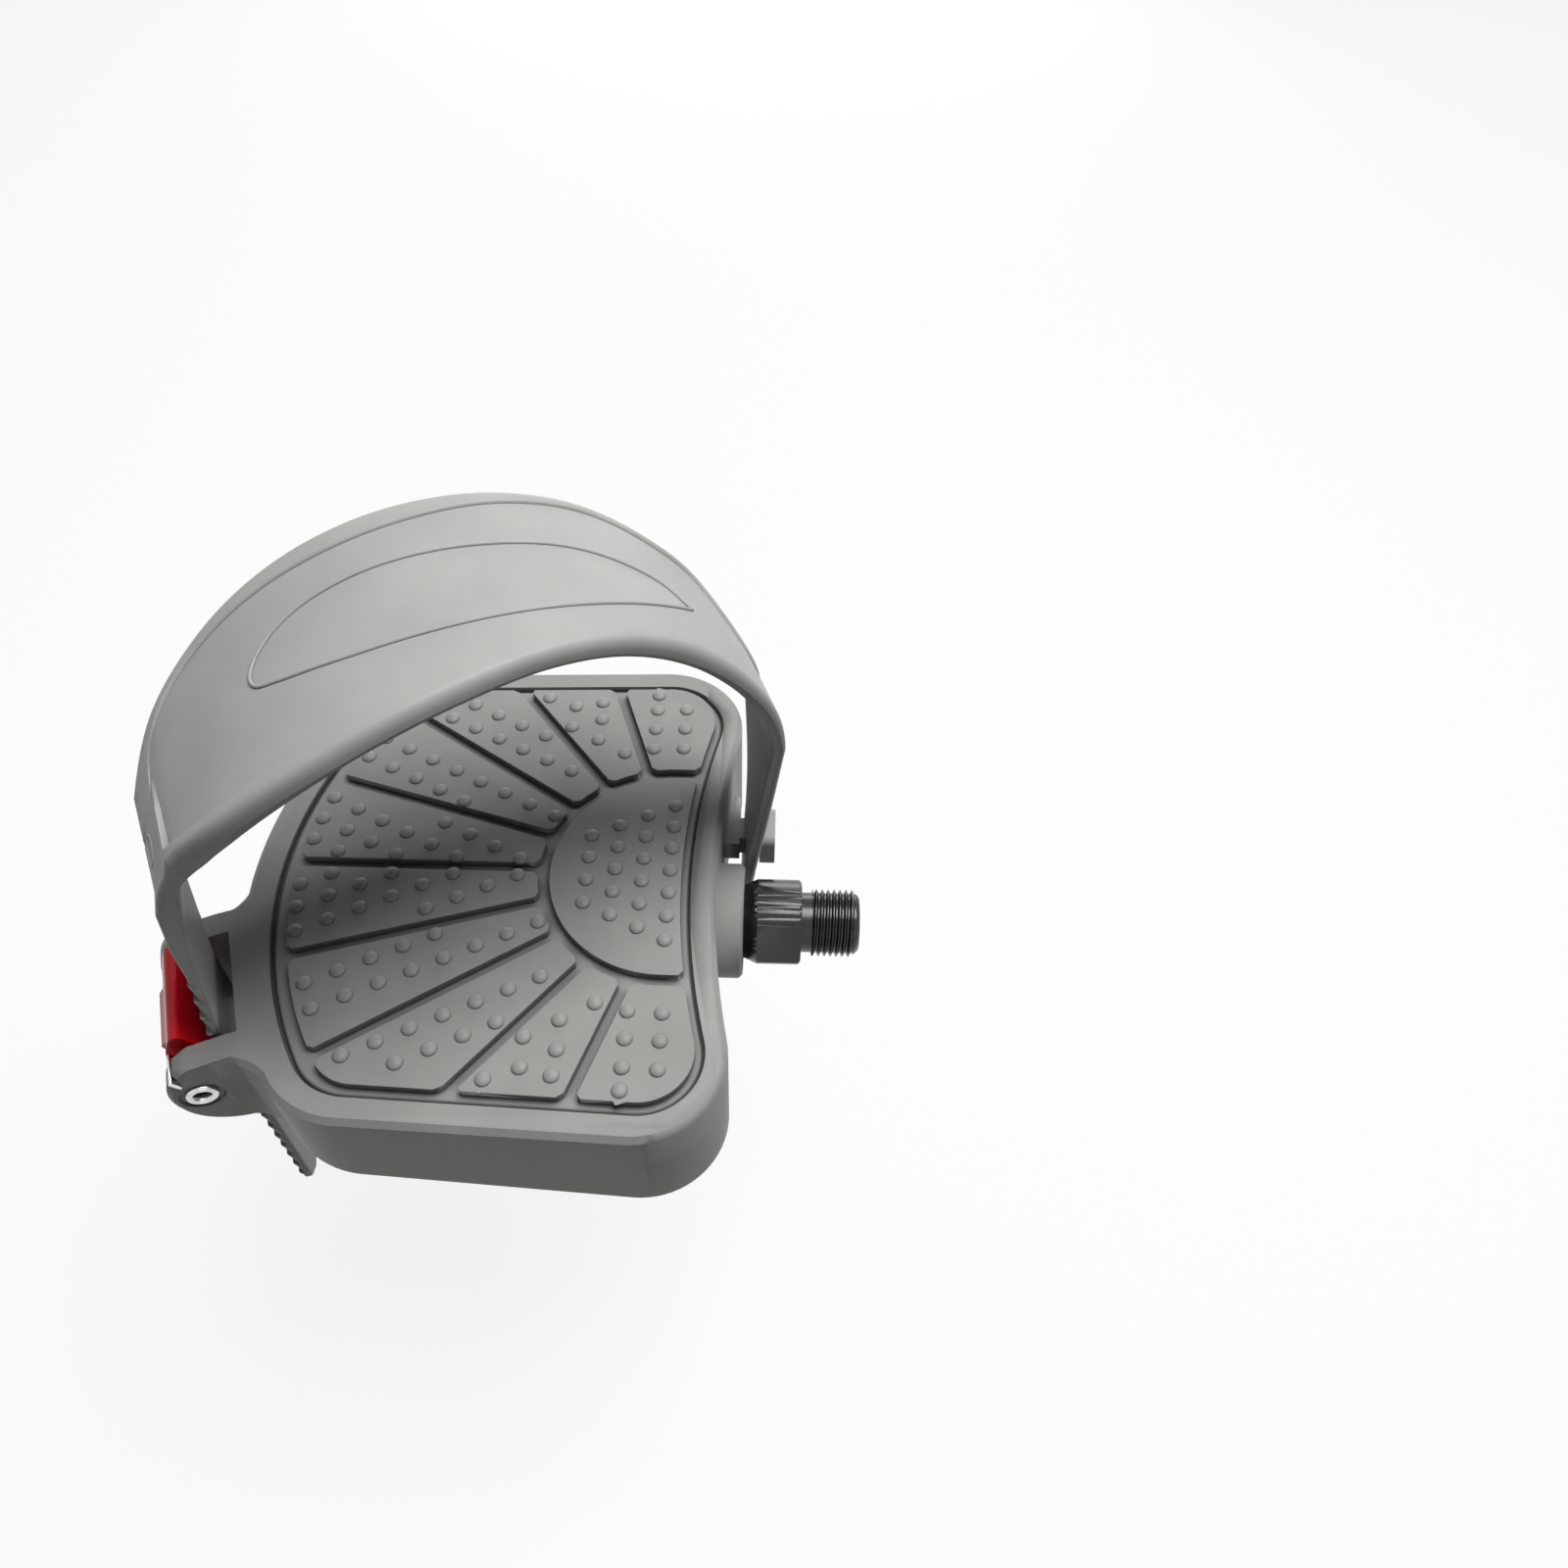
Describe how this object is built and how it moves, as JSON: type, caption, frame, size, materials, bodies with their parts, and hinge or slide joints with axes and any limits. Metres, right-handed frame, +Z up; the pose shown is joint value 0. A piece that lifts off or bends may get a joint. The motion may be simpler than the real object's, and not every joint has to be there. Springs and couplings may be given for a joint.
{
  "type": "exercise bike pedal",
  "caption": "Left exercise bike pedal: wide grey platform with a fan of studded tread pads, a toothed foot strap and a red ratchet buckle.",
  "frame": {"origin": "on the spindle axis at the middle of the crank thread", "axes": "+X along the spindle towards the crank, +Y towards the rider's toes, +Z up with the tread on top"},
  "size_m": [0.1401, 0.1142, 0.1482],
  "materials": {
    "body_plastic": "fine moulded grain, satin",
    "tread_rubber": "matte moulded rubber",
    "strap_rubber": "satin moulded soft plastic",
    "lever_red": "gloss",
    "spindle_black": "black oxide, oiled",
    "rivet_steel": "bright",
    "spring_wire": "polished",
    "bush_bronze": "sintered",
    "zinc_steel": "zinc plated",
    "black_rubber": "matte",
    "nylon": "matte"
  },
  "bodies": {
    "axle": {"spindle": "spindle_black", "outer_thrust_washer": "zinc_steel", "axle_nut": "zinc_steel", "nut_insert": "nylon"},
    "pedal": {"pedal_body": "body_plastic", "tread_pad": "tread_rubber", "axle_seal": "black_rubber", "inner_thrust_washer": "zinc_steel", "inner_bush": "bush_bronze", "outer_bush": "bush_bronze", "dust_cap": "body_plastic", "strap": "strap_rubber", "lever_pin": "rivet_steel", "lever_spring": "spring_wire"},
    "lever": {"ratchet_lever": "lever_red"}
  },
  "joints": [
    {"name": "pedal_spin", "type": "hinge", "parent": "axle", "child": "pedal", "pos_m": [0, 0, 0], "axis": [1, 0, 0], "continuous": true},
    {"name": "lever_release", "type": "hinge", "parent": "pedal", "child": "lever", "pos_m": [-0.12359, -0.03321, 0.0063], "axis": [0.342, -0.9397, 0], "range_deg": [0, 30], "stiffness_Nm_per_rad": 0.03, "springref_deg": -17.19}
  ]
}
